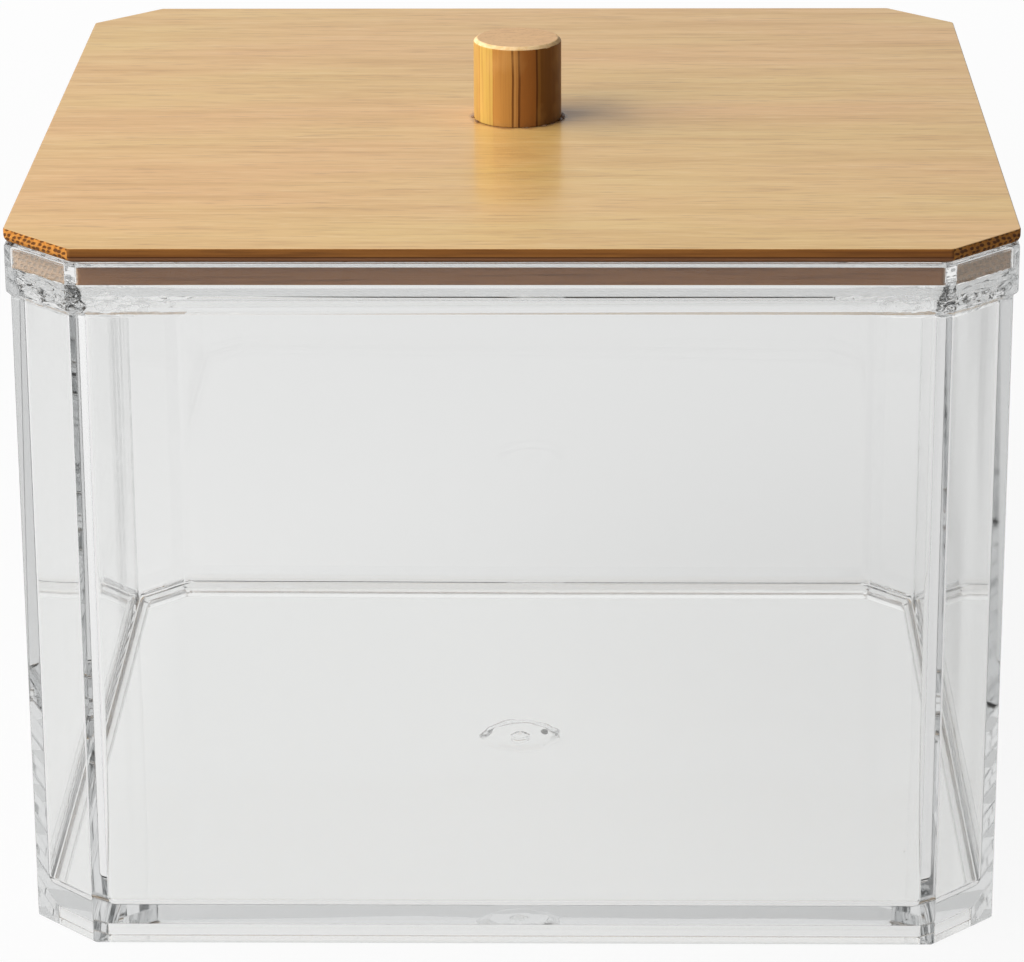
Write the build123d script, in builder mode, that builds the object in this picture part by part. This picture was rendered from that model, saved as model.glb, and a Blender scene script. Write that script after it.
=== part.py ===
from build123d import *
import os
from math import sqrt

# A clear moulded box for cotton pads with a bamboo lid that lifts off by a dowel knob.
# Millimetres. +Z is up, the front faces -Y, and the origin is the middle of the face
# that the box stands on. In plan the box and the lid are squares with cut corners.

os.makedirs("parts", exist_ok=True)

# Box, outside
box_height = 93.3
box_width = 126.6  # across the flat walls, below the rim band
corner_leg = 8.2  # how far a cut corner starts from the square's own corner
outer_round = 0.4  # radius of the upright edges outside
rim_band = 6.2  # height of the band round the mouth
rim_proud = 0.6  # the band stands this far out of the walls
rim_shoulder = 0.6  # height of the slope under the band
base_bevel = 0.4

# Box, inside
wall = 3.0
corner_wall = 3.6  # thickness through the cut corners
inner_round = 1.0  # radius of the upright edges inside
rim_wall = 1.5  # the mouth is thinner, so that the lid drops into it
rim_corner_wall = 2.1
ledge_height = 3.0  # slope from the thin mouth down to the full wall

# Floor and underside
floor_thickness = 2.8
foot_height = 1.6  # the box stands on a ring, and its floor is this far up
foot_width = 4.5
gate_diameter = 10.0  # shallow dimple round the moulding gate, under the floor
gate_depth = 0.4
gate_stub_diameter = 1.8
gate_stub_height = 0.9

# Lid
lid_overhang = 0.1  # beyond the rim band, at the sides
lid_leg = 9.2
lid_round = 0.8  # radius of the lid's upright edges
lid_flange = 1.9  # thickness of the edge that lies on the rim
lid_arris = 0.2  # bevel of the top edge
plug_depth = 3.2  # the rebated underside reaches this far into the mouth
plug_gap = 0.3  # clearance between plug and mouth, all round
plug_drop_gap = 0.3  # clearance between plug and ledge

# Knob and its screw
knob_diameter = 12.0
knob_height = 11.2
knob_bevel = 0.5
screw_diameter = 3.0
screw_length = 12.0
screw_head_diameter = 5.6
screw_tip = 2.0  # length of the pointed end
screw_gap = 0.05  # radial clearance in the lid and the knob
pilot_extra = 0.6  # the knob's hole is this much deeper than the screw
cross_width = 0.8
cross_length = 3.2
cross_depth = 0.9


def leg_inside(leg, side, corner):
    """The corner leg of an outline moved in by side at the flats and corner at the corners."""
    return leg - 2 * side + sqrt(2) * corner


# The two heights and the outlines that the pieces share
band_bottom = box_height - rim_band
floor_top = foot_height + floor_thickness
ledge_top = box_height - plug_depth - plug_drop_gap
ledge_bottom = ledge_top - ledge_height

rim_width = box_width + 2 * rim_proud
rim_leg = leg_inside(corner_leg, -rim_proud, -rim_proud)
cavity_width = box_width - 2 * wall
cavity_leg = leg_inside(corner_leg, wall, corner_wall)
mouth_width = rim_width - 2 * rim_wall
mouth_leg = leg_inside(rim_leg, rim_wall, rim_corner_wall)
foot_inner_width = box_width - 2 * foot_width
foot_inner_leg = leg_inside(corner_leg, foot_width, foot_width)
lid_width = rim_width + 2 * lid_overhang
plug_width = mouth_width - 2 * plug_gap
plug_leg = leg_inside(mouth_leg, plug_gap, plug_gap)
plug_bottom = box_height - plug_depth
lid_top = box_height + lid_flange
screw_radius = screw_diameter / 2
head_radius = screw_head_diameter / 2
head_height = head_radius - screw_radius  # a 90 degree countersunk head
hole_radius = screw_radius + screw_gap


def cut_square(height, width, leg, edge_round):
    """A level square with cut corners, its eight corners slightly rounded."""
    half = width / 2
    start = half - leg
    right_and_back = [(half, -start), (half, start), (start, half), (-start, half)]
    left_and_front = [(-x, -y) for x, y in right_and_back]
    with BuildSketch(Plane.XY.offset(height)) as outline:
        with BuildLine():
            FilletPolyline(*right_and_back, *left_and_front, radius=edge_round, close=True)
        make_face()
    return outline.sketch


def box_wall_outline(height):
    return cut_square(height, box_width, corner_leg, outer_round)


def rim_outline(height):
    return cut_square(height, rim_width, rim_leg, outer_round)


def cavity_outline(height):
    return cut_square(height, cavity_width, cavity_leg, inner_round)


def mouth_outline(height):
    return cut_square(height, mouth_width, mouth_leg, inner_round)


# The clear box: one moulding, open at the top
with BuildPart() as box_body:
    extrude(box_wall_outline(0), amount=band_bottom - rim_shoulder)
    chamfer(box_body.faces().sort_by(Axis.Z)[0].edges(), base_bevel)
    loft(sections=[box_wall_outline(band_bottom - rim_shoulder), rim_outline(band_bottom)])
    extrude(rim_outline(band_bottom), amount=rim_band)

    extrude(cavity_outline(floor_top), amount=ledge_bottom - floor_top, mode=Mode.SUBTRACT)
    loft(sections=[cavity_outline(ledge_bottom), mouth_outline(ledge_top)], mode=Mode.SUBTRACT)
    extrude(mouth_outline(ledge_top), amount=box_height - ledge_top, mode=Mode.SUBTRACT)

    foot_recess = cut_square(0, foot_inner_width, foot_inner_leg, inner_round)
    extrude(foot_recess, amount=foot_height, mode=Mode.SUBTRACT)
    with BuildSketch(Plane.XY.offset(foot_height)):
        Circle(gate_diameter / 2)
    extrude(amount=gate_depth, mode=Mode.SUBTRACT)
    with BuildSketch(Plane.XY.offset(foot_height + gate_depth)):
        Circle(gate_stub_diameter / 2)
    extrude(amount=-gate_stub_height)
box_body.part.label = "box_body"
export_step(box_body.part, "parts/box_body.step")


# The lid: one bamboo board, rebated underneath so that it plugs the mouth
with BuildPart() as lid_board:
    extrude(cut_square(box_height, lid_width, lid_leg, lid_round), amount=lid_flange)
    chamfer(lid_board.faces().sort_by(Axis.Z)[-1].edges(), lid_arris)
    plug_outline = cut_square(box_height, plug_width, plug_leg, inner_round)
    extrude(plug_outline, amount=-plug_depth)
    with Locations(Plane(origin=(0, 0, plug_bottom), z_dir=(0, 0, -1))):
        CounterSinkHole(hole_radius, head_radius + screw_gap, lid_flange + plug_depth, 90)
lid_board.part.label = "lid_board"
export_step(lid_board.part, "parts/lid_board.step")


# The knob: a length of bamboo dowel with a pilot hole up its middle
pilot_depth = screw_length - (lid_flange + plug_depth) + pilot_extra
with BuildPart() as knob:
    with BuildSketch(Plane.XY.offset(lid_top)):
        Circle(knob_diameter / 2)
    extrude(amount=knob_height)
    chamfer(knob.faces().sort_by(Axis.Z)[-1].edges(), knob_bevel)
    with Locations(Plane(origin=(0, 0, lid_top), z_dir=(0, 0, -1))):
        Hole(hole_radius, pilot_depth)
knob.part.label = "knob"
export_step(knob.part, "parts/knob.step")


# The screw: countersunk, driven up through the lid into the knob
screw_end = plug_bottom + screw_length
with BuildPart() as knob_screw:
    with BuildSketch(Plane.XZ):
        with BuildLine():
            Polyline(
                (0, plug_bottom),
                (head_radius, plug_bottom),
                (screw_radius, plug_bottom + head_height),
                (screw_radius, screw_end - screw_tip),
                (0, screw_end),
                close=True,
            )
        make_face()
    revolve(axis=Axis.Z)
    with BuildSketch(Plane.XY.offset(plug_bottom)):
        Rectangle(cross_length, cross_width)
        Rectangle(cross_width, cross_length)
    extrude(amount=cross_depth, mode=Mode.SUBTRACT)
knob_screw.part.label = "knob_screw"
export_step(knob_screw.part, "parts/knob_screw.step")
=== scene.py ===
import math

import bmesh
import bpy
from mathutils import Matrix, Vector, noise


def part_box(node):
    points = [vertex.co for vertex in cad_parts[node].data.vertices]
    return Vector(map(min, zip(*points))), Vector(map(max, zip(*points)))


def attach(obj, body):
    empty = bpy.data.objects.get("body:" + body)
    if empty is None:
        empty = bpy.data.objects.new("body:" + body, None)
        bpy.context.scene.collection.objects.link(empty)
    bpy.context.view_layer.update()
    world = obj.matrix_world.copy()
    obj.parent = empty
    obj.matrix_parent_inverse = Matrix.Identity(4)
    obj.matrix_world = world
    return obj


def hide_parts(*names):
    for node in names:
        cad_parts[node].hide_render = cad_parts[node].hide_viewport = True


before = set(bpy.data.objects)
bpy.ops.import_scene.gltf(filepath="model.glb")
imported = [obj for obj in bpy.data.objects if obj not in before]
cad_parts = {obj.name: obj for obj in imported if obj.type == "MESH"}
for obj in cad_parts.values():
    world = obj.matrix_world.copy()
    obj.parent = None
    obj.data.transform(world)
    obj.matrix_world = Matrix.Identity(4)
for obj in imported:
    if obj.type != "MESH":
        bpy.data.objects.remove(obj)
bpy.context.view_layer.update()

# A clear moulded box with a lift-off bamboo lid, on a plain pale floor. Metres.
# The front faces -Y, and the box stands on z = 0.

MM = 0.001

# Fineness of the meshes
ARC_STEPS = 5  # steps in each rounded edge
RING_POINTS = 8 * (ARC_STEPS + 1)  # a cut square has eight corners
GATE_SLOPE_STEPS = 8
FILLET_STEPS = 6
EDGE_ROUND_STEPS = 3
SHARP_ANGLE = math.radians(25)  # edges that turn by more than this get a small round

# Light
SEEN_IN_PLASTIC = 0.93  # how bright the white background is through clear plastic
SEEN_IN_GLOSS = 0.55  # and in reflections
ROOM_LEFT = 0.66  # strength of the room's soft light from the left
ROOM_RIGHT = 0.05
LIGHT_BOUNCES = 40  # light runs a long way inside the clear walls

# ---------------------------------------------------------------- sizes
# The outer sizes come from the parts in model.glb. The others are the moulding's and the board's own.
rim_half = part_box("box_body")[1].x
box_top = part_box("box_body")[1].z
lid_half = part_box("lid_board")[1].x
lid_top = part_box("lid_board")[1].z
plug_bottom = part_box("lid_board")[0].z
knob_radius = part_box("knob")[1].x
knob_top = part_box("knob")[1].z

RIM_PROUD = 0.6 * MM
RIM_BAND = 6.2 * MM
RIM_SHOULDER = 0.6 * MM
CORNER_LEG = 8.2 * MM
OUTER_ROUND = 0.4 * MM
INNER_ROUND = 1.0 * MM
WALL = 3.0 * MM
CORNER_WALL = 3.6 * MM
RIM_WALL = 1.5 * MM
RIM_CORNER_WALL = 2.1 * MM
LEDGE_HEIGHT = 3.0 * MM
LEDGE_GAP = 0.3 * MM  # between the plug's underside and the top of the ledge
PLUG_GAP = 0.3 * MM
FLOOR_THICKNESS = 2.8 * MM
FOOT_HEIGHT = 1.6 * MM
FOOT_WIDTH = 4.5 * MM
BASE_BEVEL = 0.4 * MM
GATE_RADIUS = 5.0 * MM  # the dimple round the moulding gate, under the floor
GATE_DEPTH = 0.5 * MM
GATE_SLOPE = 1.6 * MM  # how wide the soft side of the dimple is
GATE_LUMP = 2.2 * MM  # how far apart the lumps in the gate's cold plastic are
GATE_SHIFT = 0.35 * GATE_LUMP  # and how far they push its outline
GATE_STUB_RADIUS = 0.9 * MM
GATE_STUB_HEIGHT = 0.9 * MM
INNER_FILLET = 1.6 * MM  # where the walls meet the floor inside
RIM_ROUND = 0.35 * MM  # on the rim's outer edge
MOUTH_BEVEL = 0.8 * MM  # on the rim's inner edge, to lead the plug in
CRINKLE_START = 104 * MM  # |x| + |y| where the ledge begins to crinkle, towards its corners
CRINKLE_FULL = 112 * MM
BUNDLE_SPACING = 0.72 * MM  # between the dark fibre bundles in bamboo end grain
BUNDLE_ROW = 0.66 * MM  # height of one row of them
LID_LEG = 9.2 * MM
LID_ROUND = 0.8 * MM  # radius of the lid's upright edges
LID_UNDER_ROUND = 1.0 * MM  # along the underside of the flange
KNOB_BEVEL = 0.45 * MM
KNOB_HOLE_RADIUS = 1.55 * MM
SCREW_HEAD_RADIUS = 2.85 * MM
BOX_ARRIS = 0.25 * MM  # small rounds on all the sharp edges
LID_ARRIS = 0.15 * MM
KNOB_ARRIS = 0.12 * MM


def leg_inside(leg, side, corner):
    """The corner leg of an outline moved in by side at the flats and corner at the corners."""
    return leg - 2 * side + math.sqrt(2) * corner


wall_half = rim_half - RIM_PROUD
rim_leg = leg_inside(CORNER_LEG, -RIM_PROUD, -RIM_PROUD)
cavity_half = wall_half - WALL
cavity_leg = leg_inside(CORNER_LEG, WALL, CORNER_WALL)
mouth_half = rim_half - RIM_WALL
mouth_leg = leg_inside(rim_leg, RIM_WALL, RIM_CORNER_WALL)
foot_half = wall_half - FOOT_WIDTH
foot_leg = leg_inside(CORNER_LEG, FOOT_WIDTH, FOOT_WIDTH)
plug_half = mouth_half - PLUG_GAP
plug_leg = leg_inside(mouth_leg, PLUG_GAP, PLUG_GAP)
band_bottom = box_top - RIM_BAND
floor_top = FOOT_HEIGHT + FLOOR_THICKNESS
ledge_top = plug_bottom - LEDGE_GAP
ledge_bottom = ledge_top - LEDGE_HEIGHT


# ---------------------------------------------------------------- mesh helpers
def cut_square(half, leg, radius, z):
    """A level ring round a square with cut corners. Each of its eight corners is an arc."""
    start = half - leg
    turn = math.radians(45)
    corners = [(half, -start), (half, start), (start, half), (-start, half)]
    corners += [(-x, -y) for x, y in corners]
    ring = []
    for index, (x, y) in enumerate(corners):
        first = (index - 1) * turn
        middle = first + turn / 2
        reach = radius / math.cos(turn / 2)
        centre_x = x - reach * math.cos(middle)
        centre_y = y - reach * math.sin(middle)
        for step in range(ARC_STEPS + 1):
            angle = first + turn * step / ARC_STEPS
            ring.append((centre_x + radius * math.cos(angle), centre_y + radius * math.sin(angle), z))
    return ring


def circle(radius, z):
    """A level ring with as many points as a cut square, starting at the same corner."""
    ring = []
    for step in range(RING_POINTS):
        angle = math.radians(-45) + 2 * math.pi * (step + 0.5) / RING_POINTS
        ring.append((radius * math.cos(angle), radius * math.sin(angle), z))
    return ring


def skin(name, rings):
    """A closed mesh through rings of RING_POINTS points, with a flat cap at both ends."""
    points = [point for ring in rings for point in ring]
    faces = [tuple(reversed(range(RING_POINTS)))]
    for level in range(len(rings) - 1):
        low = level * RING_POINTS
        high = low + RING_POINTS
        for i in range(RING_POINTS):
            j = (i + 1) % RING_POINTS
            faces.append((low + i, low + j, high + j, high + i))
    last = (len(rings) - 1) * RING_POINTS
    faces.append(tuple(range(last, last + RING_POINTS)))
    mesh = bpy.data.meshes.new(name)
    mesh.from_pydata(points, [], faces)
    mesh.validate()
    piece = bpy.data.objects.new(name, mesh)
    bpy.context.collection.objects.link(piece)
    return piece


def smooth_piece(name, shape, material):
    """A smoothly shaded piece from a bmesh, which is used up."""
    mesh = bpy.data.meshes.new(name)
    shape.to_mesh(mesh)
    shape.free()
    for face in mesh.polygons:
        face.use_smooth = True
    piece = bpy.data.objects.new(name, mesh)
    bpy.context.collection.objects.link(piece)
    piece.data.materials.append(material)
    return piece


def round_edges(piece, width):
    """Smooth shading, with a small true round on every sharp edge and the flats kept flat."""
    for face in piece.data.polygons:
        face.use_smooth = True
    bevel = piece.modifiers.new("edge_round", "BEVEL")
    bevel.width = width
    bevel.segments = EDGE_ROUND_STEPS
    bevel.limit_method = "ANGLE"
    bevel.angle_limit = SHARP_ANGLE
    flat = piece.modifiers.new("flat_faces", "WEIGHTED_NORMAL")
    flat.weight = 100


# ---------------------------------------------------------------- material helpers
def add(tree, kind, inputs=None, **settings):
    """One shader node. An input is a plain value, or another node's output to link from."""
    node = tree.nodes.new("ShaderNode" + kind)
    for name, value in settings.items():
        setattr(node, name, value)
    for name, value in (inputs or {}).items():
        if isinstance(value, bpy.types.NodeSocket):
            tree.links.new(value, node.inputs[name])
        else:
            node.inputs[name].default_value = value
    return node


def new_material(name):
    """An empty material, its node tree and its output node."""
    material = bpy.data.materials.new(name)
    material.use_nodes = True
    material.node_tree.nodes.clear()
    output = add(material.node_tree, "OutputMaterial")
    return material, material.node_tree, output


def surface(tree, output, inputs):
    """One Principled shader, linked to the material's output."""
    shader = add(tree, "BsdfPrincipled", inputs)
    tree.links.new(shader.outputs[0], output.inputs["Surface"])


def stretched(tree, scale, offset=(0, 0, 0)):
    """Coordinates on the piece itself, in metres times scale along each axis."""
    coords = add(tree, "TexCoord").outputs["Object"]
    return add(tree, "Mapping", {"Vector": coords, "Scale": scale, "Location": offset}).outputs[0]


def object_axes(tree):
    """X, Y and Z on the piece itself, in metres."""
    coords = add(tree, "TexCoord").outputs["Object"]
    return list(add(tree, "SeparateXYZ", {0: coords}).outputs)


def noise_value(tree, scale, detail=2.0, roughness=0.5, offset=(0, 0, 0)):
    """Noise round 0.5, finer along the axes that have a larger scale."""
    inputs = {"Vector": stretched(tree, scale, offset), "Scale": 1.0, "Detail": detail}
    inputs["Roughness"] = roughness
    return add(tree, "TexNoise", inputs).outputs["Fac"]


def spread(tree, value, low, high, to_low=0.0, to_high=1.0):
    """value from low..high to to_low..to_high, held inside that."""
    inputs = {"Value": value, "From Min": low, "From Max": high, "To Min": to_low, "To Max": to_high}
    return add(tree, "MapRange", inputs).outputs[0]


def blend_colour(tree, factor, first, second):
    """first at factor 0 and second at 1. Each may be a colour or a socket."""
    node = add(tree, "Mix", data_type="RGBA")
    for name, value in (("Factor", factor), ("A", first), ("B", second)):
        socket = [s for s in node.inputs if s.name == name and s.enabled][0]
        if isinstance(value, bpy.types.NodeSocket):
            tree.links.new(value, socket)
        else:
            socket.default_value = value if name == "Factor" else (*value, 1.0)
    return [s for s in node.outputs if s.enabled][0]


def sums(tree, how, first, second):
    """One Math node. Either value may be a number or a socket."""
    return add(tree, "Math", {0: first, 1: second}, operation=how).outputs[0]


def sway(tree, noise_socket, width):
    """Noise turned into a shift to either side of 0."""
    return sums(tree, "MULTIPLY", sums(tree, "SUBTRACT", noise_socket, 0.5), width)


def length(tree, vector):
    """How long a vector is."""
    return add(tree, "VectorMath", {0: vector}, operation="LENGTH").outputs["Value"]


def bump(tree, height, distance, strength, below=None):
    """A normal bent by height, on top of the bump below if there is one."""
    inputs = {"Height": height, "Distance": distance, "Strength": strength}
    if below is not None:
        inputs["Normal"] = below
    return add(tree, "Bump", inputs).outputs[0]


# ---------------------------------------------------------------- camera
CAMERA_PLACE = (0.0099, -0.5837, 0.2493)
CAMERA_TURN = (70.455, 0.28, 0.975)  # degrees round x, y and z
CAMERA_LENS = 153.9  # mm
CAMERA_SENSOR = 36.0  # mm wide


def make_camera():
    """The photograph's own view: a long lens that looks down by about 20 degrees."""
    data = bpy.data.cameras.new("camera")
    data.sensor_width = CAMERA_SENSOR
    data.lens = CAMERA_LENS
    camera = bpy.data.objects.new("camera", data)
    camera.location = CAMERA_PLACE
    camera.rotation_euler = [math.radians(angle) for angle in CAMERA_TURN]
    bpy.context.collection.objects.link(camera)
    bpy.context.scene.camera = camera


make_camera()


# ---------------------------------------------------------------- materials
def clear_plastic():
    """Clear moulded plastic, faintly uneven, and crinkled where the ledge turns the corners.
    It takes a little light on the way, so it is greyer where one looks along a wall.
    Light from the lamp goes straight through it, and leaves a faint shadow."""
    material, tree, output = new_material("clear_plastic")
    flow = noise_value(tree, (24, 24, 7), detail=1.0)
    normal = bump(tree, flow, 0.0002, 0.5)
    x, y, z = object_axes(tree)
    corner = sums(tree, "ADD", sums(tree, "ABSOLUTE", x, 0), sums(tree, "ABSOLUTE", y, 0))
    at_corner = spread(tree, corner, CRINKLE_START, CRINKLE_FULL)
    above_middle = sums(tree, "SUBTRACT", z, ledge_bottom + LEDGE_HEIGHT / 2)
    off_ledge = sums(tree, "ABSOLUTE", above_middle, 0)
    on_ledge = spread(tree, off_ledge, 1.4 * MM, 2.2 * MM, 1.0, 0.0)
    crinkle = noise_value(tree, (420, 420, 800), detail=1.0)
    crinkle = sums(tree, "MULTIPLY", crinkle, sums(tree, "MULTIPLY", at_corner, on_ledge))
    normal = bump(tree, crinkle, 0.0007, 0.9, below=normal)
    rough = spread(tree, flow, 0.4, 0.8, 0.0, 0.02)
    inputs = {"Base Color": (0.985, 0.988, 0.985, 1), "Transmission Weight": 1.0, "IOR": 1.53}
    inputs.update({"Roughness": rough, "Normal": normal})
    plastic = add(tree, "BsdfPrincipled", inputs)
    window = add(tree, "BsdfTransparent", {"Color": (0.94, 0.95, 0.95, 1)})
    is_shadow = add(tree, "LightPath").outputs["Is Shadow Ray"]
    mixed = add(tree, "MixShader", {0: is_shadow, 1: plastic.outputs[0], 2: window.outputs[0]})
    tree.links.new(mixed.outputs[0], output.inputs["Surface"])
    body = add(tree, "VolumeAbsorption", {"Color": (0.5, 0.515, 0.52, 1), "Density": 4.2})
    tree.links.new(body.outputs[0], output.inputs["Volume"])
    return material


def bamboo_face():
    """The board's broad faces: pale, with fine straight fibres along X, under a satin lacquer.
    It is darker in a ragged ring round the foot of the knob."""
    material, tree, output = new_material("bamboo_face")
    patches = noise_value(tree, (14, 60, 3), detail=2.0)
    bands = noise_value(tree, (28, 420, 60), detail=3.0, roughness=0.6)
    fibres = noise_value(tree, (150, 2600, 300), detail=2.0, roughness=0.65, offset=(3, 0, 0))
    patch = spread(tree, patches, 0.35, 0.65)
    colour = blend_colour(tree, patch, (0.74, 0.425, 0.158), (0.73, 0.472, 0.158))
    band = spread(tree, bands, 0.42, 0.72, 0.0, 0.65)
    colour = blend_colour(tree, band, colour, (0.56, 0.31, 0.10))
    dark = spread(tree, fibres, 0.55, 0.72, 0.0, 0.7)
    colour = blend_colour(tree, dark, colour, (0.42, 0.22, 0.075))
    pale = spread(tree, fibres, 0.42, 0.30, 0.0, 0.45)
    colour = blend_colour(tree, pale, colour, (0.84, 0.60, 0.30))
    x, y, _ = object_axes(tree)
    from_knob = length(tree, add(tree, "CombineXYZ", {0: x, 1: y}).outputs[0])
    ragged = noise_value(tree, (420, 420, 420), detail=3.0)
    edge = sway(tree, ragged, 2.6 * MM)
    foot = spread(tree, sums(tree, "ADD", from_knob, edge), 6.1 * MM, 6.9 * MM, 0.75, 0.0)
    colour = blend_colour(tree, foot, colour, (0.20, 0.085, 0.035))
    normal = bump(tree, fibres, 0.00004, 0.6)
    inputs = {"Base Color": colour, "Roughness": spread(tree, bands, 0.3, 0.7, 0.32, 0.42)}
    inputs.update({"Normal": normal, "Coat Weight": 0.5, "Coat Roughness": 0.15})
    surface(tree, output, inputs)
    return material


def bamboo_edge():
    """The board's long edges, sawn along the fibres: a brown upper ply over a purplish brown lower
    part, which is partly a second ply and partly painted shade and reflection of the rounded
    underside, with a dark line between them."""
    material, tree, output = new_material("bamboo_edge")
    _, _, z = object_axes(tree)
    below_top = sums(tree, "SUBTRACT", lid_top, z)
    layers = noise_value(tree, (12, 200, 900), detail=2.0)
    fibres = noise_value(tree, (90, 600, 3200), detail=2.0, offset=(1, 2, 0))
    layer = spread(tree, layers, 0.35, 0.65)
    colour = blend_colour(tree, layer, (0.17, 0.055, 0.010), (0.29, 0.115, 0.025))
    # Painted shade and reflection: from 1.1 mm below the top the edge is purplish brown, partly a
    # second ply and partly the shade of the rounded underside.
    lower = spread(tree, below_top, 1.10 * MM, 1.16 * MM)
    colour = blend_colour(tree, lower, colour, (0.25, 0.11, 0.048))
    plug = spread(tree, below_top, 1.90 * MM, 1.95 * MM)
    colour = blend_colour(tree, plug, colour, (0.25, 0.11, 0.038))
    from_line = sums(tree, "ABSOLUTE", sums(tree, "SUBTRACT", below_top, 1.12 * MM), 0)
    line = spread(tree, from_line, 0.06 * MM, 0.12 * MM, 0.8, 0.0)
    colour = blend_colour(tree, line, colour, (0.05, 0.014, 0.003))
    dark = spread(tree, fibres, 0.5, 0.75, 0.0, 0.6)
    colour = blend_colour(tree, dark, colour, (0.11, 0.04, 0.012))
    normal = bump(tree, fibres, 0.00008, 0.6)
    inputs = {"Base Color": colour, "Roughness": 0.55, "Normal": normal, "Specular IOR Level": 0.15}
    surface(tree, output, inputs)
    return material


def bamboo_end():
    """The cut corners and short edges: orange end grain, with staggered dark fibre bundles.
    On the plug the end grain is paler, partly sanded wood and partly painted light."""
    material, tree, output = new_material("bamboo_end")
    _, y, z = object_axes(tree)
    row = sums(tree, "MULTIPLY", z, 1 / BUNDLE_ROW)
    stagger = sums(tree, "MULTIPLY", row, 0.5)
    column = sums(tree, "ADD", sums(tree, "MULTIPLY", y, 1 / BUNDLE_SPACING), stagger)
    cells = add(tree, "CombineXYZ", {0: column, 1: row}).outputs[0]
    inputs = {"Vector": cells, "Scale": 1.0, "Randomness": 0.45}
    distance = add(tree, "TexVoronoi", inputs, voronoi_dimensions="2D").outputs["Distance"]
    ragged = noise_value(tree, (600, 1900, 1900), detail=2.0)
    distance = sums(tree, "ADD", distance, sway(tree, ragged, 0.5))
    bundle = spread(tree, distance, 0.26, 0.42, 0.95, 0.0)
    speckle = noise_value(tree, (500, 2500, 2500), detail=3.0)
    speckle = spread(tree, speckle, 0.40, 0.70)
    ground = blend_colour(tree, speckle, (0.54, 0.225, 0.042), (0.36, 0.125, 0.02))
    colour = blend_colour(tree, bundle, ground, (0.11, 0.038, 0.010))
    # Painted light: the plug's end grain is made paler, partly as sanded wood.
    plug = spread(tree, z, box_top - 0.1 * MM, box_top, 0.78, 0.0)
    colour = blend_colour(tree, plug, colour, (0.45, 0.35, 0.26))
    normal = bump(tree, bundle, -0.00012, 0.8)
    inputs = {"Base Color": colour, "Roughness": 0.6, "Normal": normal, "Specular IOR Level": 0.15}
    surface(tree, output, inputs)
    return material


# The knob's strips: the angle round its axis where each starts, 0 at the front and minus to the
# left, and its colour. Some strips are darker bamboo, and the strips to the right of the front are
# also painted darker, as painted shade on the side away from the lamp.
DOWEL_STRIPS_AND_PAINTED_SHADE = [
    (-180, (0.50, 0.26, 0.07)),
    (-128, (0.62, 0.36, 0.10)),
    (-95, (0.52, 0.30, 0.075)),
    (-61, (0.46, 0.24, 0.06)),
    (-58, (0.58, 0.36, 0.085)),
    (-35, (0.42, 0.19, 0.04)),
    (-33, (0.47, 0.22, 0.05)),
    (-8, (0.18, 0.07, 0.015)),
    (-5, (0.46, 0.22, 0.06)),
    (-2, (0.40, 0.18, 0.045)),
    (1, (0.13, 0.045, 0.01)),
    (3, (0.32, 0.12, 0.025)),
    (24, (0.12, 0.04, 0.008)),
    (27, (0.26, 0.12, 0.025)),
    (31, (0.19, 0.08, 0.017)),
    (78, (0.36, 0.16, 0.04)),
    (118, (0.60, 0.31, 0.08)),
    (150, (0.40, 0.18, 0.04)),
]


def dowel_side():
    """The knob's side: strips of different browns with dark joints, and fine upright fibres, with
    painted shade on the right.
    """
    material, tree, output = new_material("dowel_side")
    x, y, _ = object_axes(tree)
    wander = sway(tree, noise_value(tree, (60, 60, 110), detail=2.0), 0.07)
    around = sums(tree, "ARCTAN2", x, sums(tree, "MULTIPLY", y, -1))
    around = sums(tree, "ADD", around, wander)
    turn = spread(tree, around, -math.pi, math.pi)
    ramp = add(tree, "ValToRGB", {"Fac": turn})
    stops = ramp.color_ramp.elements
    ramp.color_ramp.interpolation = "CONSTANT"
    stops.remove(stops[-1])
    stops[0].color = (*DOWEL_STRIPS_AND_PAINTED_SHADE[0][1], 1)
    for angle, strip in DOWEL_STRIPS_AND_PAINTED_SHADE[1:]:
        stops.new(angle / 360 + 0.5).color = (*strip, 1)
    fibres = noise_value(tree, (2300, 2300, 60), detail=2.0)
    cloud = noise_value(tree, (260, 260, 170), detail=2.0)
    dark = spread(tree, fibres, 0.5, 0.75, 0.0, 0.4)
    colour = blend_colour(tree, dark, ramp.outputs[0], (0.30, 0.12, 0.03))
    pale = spread(tree, cloud, 0.5, 0.75, 0.0, 0.35)
    colour = blend_colour(tree, pale, colour, (0.66, 0.36, 0.12))
    normal = bump(tree, fibres, 0.00005, 0.6)
    inputs = {"Base Color": colour, "Roughness": 0.5, "Normal": normal, "Specular IOR Level": 0.2}
    inputs.update({"Coat Weight": 0.06, "Coat Roughness": 0.25})
    surface(tree, output, inputs)
    return material


def dowel_end():
    """The knob's top: sanded end grain, dusty and pale, with faint streaks across it."""
    material, tree, output = new_material("dowel_end")
    inputs = {"Vector": stretched(tree, (1500, 1500, 40)), "Scale": 1.0, "Randomness": 0.9}
    distance = add(tree, "TexVoronoi", inputs).outputs["Distance"]
    bundle = spread(tree, distance, 0.12, 0.35, 0.35, 0.0)
    coords = add(tree, "TexCoord").outputs["Object"]
    turned = {"Vector": coords, "Scale": (520, 2600, 100), "Rotation": (0, 0, math.radians(38))}
    across = add(tree, "Mapping", turned).outputs[0]
    streak = add(tree, "TexNoise", {"Vector": across, "Scale": 1.0, "Detail": 3.0}).outputs["Fac"]
    colour = blend_colour(tree, bundle, (0.67, 0.43, 0.23), (0.40, 0.22, 0.10))
    stripe = spread(tree, streak, 0.45, 0.7, 0.0, 0.65)
    colour = blend_colour(tree, stripe, colour, (0.50, 0.31, 0.18))
    normal = bump(tree, streak, 0.00006, 0.5)
    inputs = {"Base Color": colour, "Roughness": 0.7, "Normal": normal}
    surface(tree, output, inputs)
    return material


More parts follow.
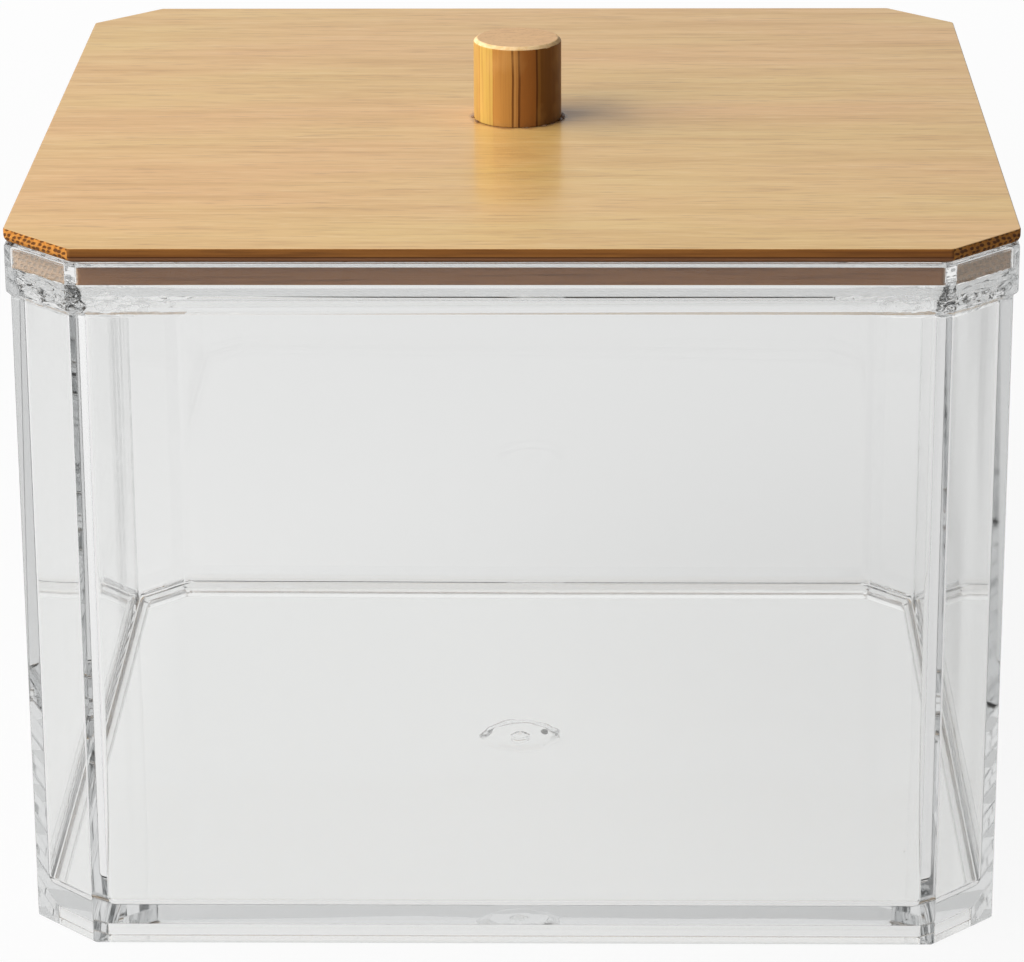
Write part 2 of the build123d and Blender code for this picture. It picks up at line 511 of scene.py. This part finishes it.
def dowel_arris():
    """The knob's chamfer, freshly sanded and nearly cream."""
    material, tree, output = new_material("dowel_arris")
    grain = noise_value(tree, (1300, 1300, 900), detail=3.0)
    share = spread(tree, grain, 0.4, 0.7)
    colour = blend_colour(tree, share, (0.86, 0.62, 0.34), (0.74, 0.46, 0.19))
    normal = bump(tree, grain, 0.00005, 0.5)
    inputs = {"Base Color": colour, "Roughness": 0.6, "Normal": normal}
    surface(tree, output, inputs)
    return material


def dry_glue():
    """Glue that has squeezed out and dried: amber brown, glossy and a little cloudy."""
    material, tree, output = new_material("dry_glue")
    cloud = noise_value(tree, (900, 900, 900), detail=2.0)
    share = spread(tree, cloud, 0.35, 0.65)
    colour = blend_colour(tree, share, (0.20, 0.09, 0.04), (0.46, 0.27, 0.15))
    inputs = {"Base Color": colour, "Roughness": spread(tree, cloud, 0.3, 0.7, 0.08, 0.25)}
    inputs.update({"Transmission Weight": 0.35, "Normal": bump(tree, cloud, 0.00008, 0.6)})
    surface(tree, output, inputs)
    return material


def screw_steel():
    """Zinc-plated steel with a faint grain."""
    material, tree, output = new_material("screw_steel")
    wear = noise_value(tree, (900, 900, 900), detail=4.0)
    share = spread(tree, wear, 0.3, 0.7)
    colour = blend_colour(tree, share, (0.50, 0.50, 0.47), (0.68, 0.67, 0.63))
    rough = spread(tree, wear, 0.3, 0.7, 0.22, 0.42)
    inputs = {"Base Color": colour, "Metallic": 1.0, "Roughness": rough}
    inputs["Normal"] = bump(tree, wear, 0.00002, 0.5)
    surface(tree, output, inputs)
    return material


# ---------------------------------------------------------------- the clear box
# Two small steps on the ledge, as shares of the way out to the mouth and of the way down.
LEDGE_STEPS = [(0.60, 0.34), (0.44, 0.40), (0.33, 0.60), (0.24, 0.63)]


def ledge_ring(out, down):
    """A ring on the ledge, at those shares of the way."""
    half = cavity_half + (mouth_half - cavity_half) * out
    leg = cavity_leg + (mouth_leg - cavity_leg) * out
    return cut_square(half, leg, INNER_ROUND, ledge_top - LEDGE_HEIGHT * down)


def make_clear_box():
    """One moulding: from the gate under the floor, out, up, over the rim and down inside."""
    gate_top = FOOT_HEIGHT + GATE_DEPTH
    rings = [
        circle(GATE_STUB_RADIUS, gate_top - GATE_STUB_HEIGHT),
        circle(GATE_STUB_RADIUS, gate_top),
    ]
    for step in range(GATE_SLOPE_STEPS + 1):
        share = step / GATE_SLOPE_STEPS
        drop = GATE_DEPTH * (1 - math.cos(math.pi * share)) / 2
        rings.append(circle(GATE_RADIUS + GATE_SLOPE * (share - 0.5), gate_top - drop))
    gate_points = len(rings) * RING_POINTS
    rings += [
        cut_square(foot_half, foot_leg, INNER_ROUND, FOOT_HEIGHT),
        cut_square(foot_half, foot_leg, INNER_ROUND, 0),
        cut_square(wall_half - BASE_BEVEL, CORNER_LEG, OUTER_ROUND, 0),
        cut_square(wall_half, CORNER_LEG, OUTER_ROUND, BASE_BEVEL),
        cut_square(wall_half, CORNER_LEG, OUTER_ROUND, band_bottom - RIM_SHOULDER),
        cut_square(rim_half, rim_leg, OUTER_ROUND, band_bottom),
    ]
    for step in range(ARC_STEPS + 1):
        angle = math.radians(90) * step / ARC_STEPS
        inset = RIM_ROUND * (1 - math.cos(angle))
        height = box_top - RIM_ROUND * (1 - math.sin(angle))
        leg = leg_inside(rim_leg, inset, inset)
        rings.append(cut_square(rim_half - inset, leg, OUTER_ROUND, height))
    bevel_leg = leg_inside(mouth_leg, -MOUTH_BEVEL, -MOUTH_BEVEL)
    rings += [
        cut_square(mouth_half + MOUTH_BEVEL, bevel_leg, INNER_ROUND, box_top),
        cut_square(mouth_half, mouth_leg, INNER_ROUND, box_top - MOUTH_BEVEL),
        cut_square(mouth_half, mouth_leg, INNER_ROUND, ledge_top),
    ]
    rings += [ledge_ring(out, down) for out, down in LEDGE_STEPS]
    rings.append(ledge_ring(0.0, 1.0))
    for step in range(FILLET_STEPS + 1):
        angle = math.radians(90) * step / FILLET_STEPS
        inset = INNER_FILLET * (1 - math.cos(angle))
        height = floor_top + INNER_FILLET * (1 - math.sin(angle))
        leg = leg_inside(cavity_leg, inset, inset)
        rings.append(cut_square(cavity_half - inset, leg, INNER_ROUND, height))
    box = skin("clear_box", rings)
    for vertex in box.data.vertices[:gate_points]:
        vertex.co.x += GATE_SHIFT * noise.noise(Vector((vertex.co.x, vertex.co.y, 0)) / GATE_LUMP)
        vertex.co.y += GATE_SHIFT * noise.noise(Vector((vertex.co.y, 0, vertex.co.x)) / GATE_LUMP)
    round_edges(box, BOX_ARRIS)
    box.data.materials.append(clear_plastic())
    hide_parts("box_body")
    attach(box, "box")


# ---------------------------------------------------------------- the lid
def make_lid():
    """One board, from the screw's countersink out over the plug, the rebate and the flange."""
    rings = [
        circle(KNOB_HOLE_RADIUS, lid_top),
        circle(KNOB_HOLE_RADIUS, plug_bottom + SCREW_HEAD_RADIUS - KNOB_HOLE_RADIUS),
        circle(SCREW_HEAD_RADIUS, plug_bottom),
        cut_square(plug_half, plug_leg, INNER_ROUND, plug_bottom),
        cut_square(plug_half, plug_leg, INNER_ROUND, box_top),
    ]
    for step in range(ARC_STEPS + 1):
        angle = math.radians(90) * step / ARC_STEPS
        inset = LID_UNDER_ROUND * (1 - math.sin(angle))
        height = box_top + LID_UNDER_ROUND * (1 - math.cos(angle))
        leg = leg_inside(LID_LEG, inset, inset)
        rings.append(cut_square(lid_half - inset, leg, LID_ROUND, height))
    rings.append(cut_square(lid_half, LID_LEG, LID_ROUND, lid_top))
    lid = skin("lid", rings)
    round_edges(lid, LID_ARRIS)
    lid.data.materials.append(bamboo_face())
    lid.data.materials.append(bamboo_edge())
    lid.data.materials.append(bamboo_end())
    for face in lid.data.polygons:
        level = math.hypot(face.normal.x, face.normal.y)
        if level < 0.2:
            face.material_index = 0  # the broad faces
        elif abs(face.normal.y) > 0.85 * level:
            face.material_index = 1  # the long edges, front and back
        else:
            face.material_index = 2  # the short edges and the cut corners
    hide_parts("lid_board")
    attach(lid, "lid")


# ---------------------------------------------------------------- the knob
def make_knob():
    """A plain dowel with a small chamfer round its top. The screw ends unseen inside it."""
    rings = [
        circle(knob_radius, lid_top),
        circle(knob_radius, knob_top - KNOB_BEVEL),
        circle(knob_radius - KNOB_BEVEL, knob_top),
    ]
    knob = skin("dowel_knob", rings)
    round_edges(knob, KNOB_ARRIS)
    knob.data.materials.append(dowel_side())
    knob.data.materials.append(dowel_end())
    knob.data.materials.append(dowel_arris())
    for face in knob.data.polygons:
        if face.normal.z > 0.9:
            face.material_index = 1  # the top
        elif face.normal.z > 0.3:
            face.material_index = 2  # the chamfer
    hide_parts("knob")
    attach(knob, "lid")


# ---------------------------------------------------------------- glue at the knob's foot
# Where each bead sits round the knob, in degrees, 0 at the front and minus to the left, and then
# the length, width and height in mm of an egg shape. Its lower half is pressed flat.
GLUE_BEADS = [
    (86, 1.5, 0.8, 0.75),
    (101, 1.0, 0.7, 0.5),
    (74, 1.2, 0.6, 0.4),
    (52, 0.7, 0.3, 0.2),
    (-88, 0.9, 0.5, 0.4),
    (-64, 1.0, 0.45, 0.3),
    (38, 0.8, 0.4, 0.25),
    (12, 0.9, 0.35, 0.2),
]
GLUE_LUMPS = 0.35  # how uneven the beads are


def make_glue():
    """Uneven beads of glue, squeezed out between the knob and the lid."""
    glue = dry_glue()
    for number, (angle, long, wide, high) in enumerate(GLUE_BEADS):
        turn = math.radians(angle)
        reach = knob_radius + 0.25 * wide * MM
        spot = Vector((reach * math.sin(turn), -reach * math.cos(turn), lid_top))
        shape = bmesh.new()
        bmesh.ops.create_icosphere(shape, subdivisions=4, radius=1.0)
        for vertex in shape.verts:
            lump = 1 + GLUE_LUMPS * noise.noise(vertex.co * 1.6 + Vector((number * 7.0, 0, 0)))
            out = vertex.co.x * wide
            along = vertex.co.y * long
            up = max(vertex.co.z, -0.05) * high
            side = Vector((math.sin(turn), -math.cos(turn), 0)) * out
            side += Vector((math.cos(turn), math.sin(turn), 0)) * along
            vertex.co = (side + Vector((0, 0, up))) * 0.5 * lump * MM + spot
        bead = smooth_piece(f"glue_bead_{number}", shape, glue)
        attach(bead, "lid")


# ---------------------------------------------------------------- specks in the moulding
# Burnt specks, such as moulded plastic has: place and radius in mm. The first hangs under the
# floor, at the edge of the gate's dimple. The others are inside the back wall and the floor.
SPECKS = [
    ((3.5, 2.2, 1.62), 0.55),
    ((-38.0, 61.6, 62.0), 0.14),
    ((52.5, -41.0, 2.9), 0.12),
]
SPECK_LUMPS = 0.4  # how uneven they are
SPECK_FLATNESS = 0.6


def burnt_speck():
    """Charred plastic, nearly black."""
    material, tree, output = new_material("burnt_speck")
    char = noise_value(tree, (3000, 3000, 3000), detail=2.0)
    colour = blend_colour(tree, char, (0.03, 0.028, 0.025), (0.10, 0.09, 0.08))
    surface(tree, output, {"Base Color": colour, "Roughness": 0.6})
    return material


def make_specks():
    """Small flat lumps of burnt plastic."""
    material = burnt_speck()
    for number, (place, radius) in enumerate(SPECKS):
        shape = bmesh.new()
        bmesh.ops.create_icosphere(shape, subdivisions=3, radius=1.0)
        for vertex in shape.verts:
            lump = 1 + SPECK_LUMPS * noise.noise(vertex.co * 1.5 + Vector((0, number * 5.0, 0)))
            flat = Vector((vertex.co.x, vertex.co.y, vertex.co.z * SPECK_FLATNESS))
            vertex.co = (flat * radius * lump + Vector(place)) * MM
        speck = smooth_piece(f"speck_{number}", shape, material)
        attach(speck, "box")


# ---------------------------------------------------------------- the screw
def dress_screw():
    """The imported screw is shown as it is, in steel."""
    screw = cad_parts["knob_screw"]
    screw.data.materials.clear()
    screw.data.materials.append(screw_steel())


make_clear_box()
make_lid()
make_knob()
make_glue()
make_specks()
dress_screw()


# ---------------------------------------------------------------- floor, light and background
FLOOR_REACH = 4.0
FLOOR_DROP = 0.1 * MM  # so that it doesn't share a plane with the foot ring


def seen_white(tree):
    """Where white is seen, and that white: full for the camera, a touch greyer through clear
    plastic and greyer still off gloss."""
    path = add(tree, "LightPath")
    camera, gloss = path.outputs["Is Camera Ray"], path.outputs["Is Glossy Ray"]
    clear = path.outputs["Is Transmission Ray"]
    seen = sums(tree, "MAXIMUM", camera, sums(tree, "MAXIMUM", gloss, clear))
    in_plastic = sums(tree, "MULTIPLY", clear, SEEN_IN_PLASTIC)
    in_gloss = sums(tree, "MULTIPLY", gloss, SEEN_IN_GLOSS)
    strength = sums(tree, "MAXIMUM", camera, sums(tree, "MAXIMUM", in_plastic, in_gloss))
    return seen, add(tree, "Emission", {"Color": (1, 1, 1, 1), "Strength": strength}).outputs[0]


def make_floor():
    """A pale floor that is nearly white where it shows, and keeps part of its shadows. More of
    its own light and shade shows through the plastic, near the box. Both ranges are in metres
    from the middle."""
    material, tree, output = new_material("pale_floor")
    matt = add(tree, "BsdfDiffuse", {"Color": (0.62, 0.62, 0.62, 1)})
    seen, white = seen_white(tree)
    coords = add(tree, "TexCoord").outputs["Object"]
    away = length(tree, coords)
    through = spread(tree, away, 0.35, 0.90, 0.60, 1.0)
    near = spread(tree, away, 0.12, 0.70, 0.90, 1.0)
    straight = sums(tree, "MULTIPLY", add(tree, "LightPath").outputs["Is Camera Ray"], near)
    share = sums(tree, "MULTIPLY", seen, sums(tree, "MAXIMUM", straight, through))
    mixed = add(tree, "MixShader", {0: share, 1: matt.outputs[0], 2: white})
    tree.links.new(mixed.outputs[0], output.inputs["Surface"])
    mesh = bpy.data.meshes.new("floor")
    sides = [(-1, -1), (1, -1), (1, 1), (-1, 1)]
    corners = [(x * FLOOR_REACH, y * FLOOR_REACH, 0) for x, y in sides]
    mesh.from_pydata(corners, [], [(0, 1, 2, 3)])
    floor = bpy.data.objects.new("floor", mesh)
    floor.location.z = -FLOOR_DROP
    floor.data.materials.append(material)
    bpy.context.collection.objects.link(floor)


def make_lamp(name, place, aim, size, power):
    """A soft white lamp that isn't seen itself: no square glints in the plastic."""
    data = bpy.data.lights.new(name, "AREA")
    data.shape = "RECTANGLE"
    data.size, data.size_y = size
    data.energy = power
    lamp = bpy.data.objects.new(name, data)
    lamp.location = place
    lamp.rotation_euler = (Vector(aim) - Vector(place)).to_track_quat("-Z", "Y").to_euler()
    lamp.visible_glossy = False
    lamp.visible_transmission = False
    bpy.context.collection.objects.link(lamp)


def make_world():
    """White where it is seen, and a dimmer room, darker to the right, for soft light."""
    world = bpy.data.worlds.new("studio")
    world.use_nodes = True
    tree = world.node_tree
    tree.nodes.clear()
    seen, white = seen_white(tree)
    direction = add(tree, "SeparateXYZ", {0: add(tree, "TexCoord").outputs["Generated"]})
    strength = spread(tree, direction.outputs["X"], -0.8, 0.5, ROOM_LEFT, ROOM_RIGHT)
    room = add(tree, "Background", {"Color": (1, 1, 1, 1), "Strength": strength})
    mixed = add(tree, "MixShader", {0: seen, 1: room.outputs[0], 2: white})
    output = add(tree, "OutputWorld")
    tree.links.new(mixed.outputs[0], output.inputs["Surface"])
    bpy.context.scene.world = world


make_floor()
make_world()
make_lamp("key_left", place=(-0.75, -0.20, 0.62), aim=(0, 0, 0.08), size=(1.30, 0.60), power=15.8)
bpy.context.scene.view_settings.view_transform = "Standard"
for limit in ("max_bounces", "glossy_bounces", "transmission_bounces"):
    setattr(bpy.context.scene.cycles, limit, LIGHT_BOUNCES)
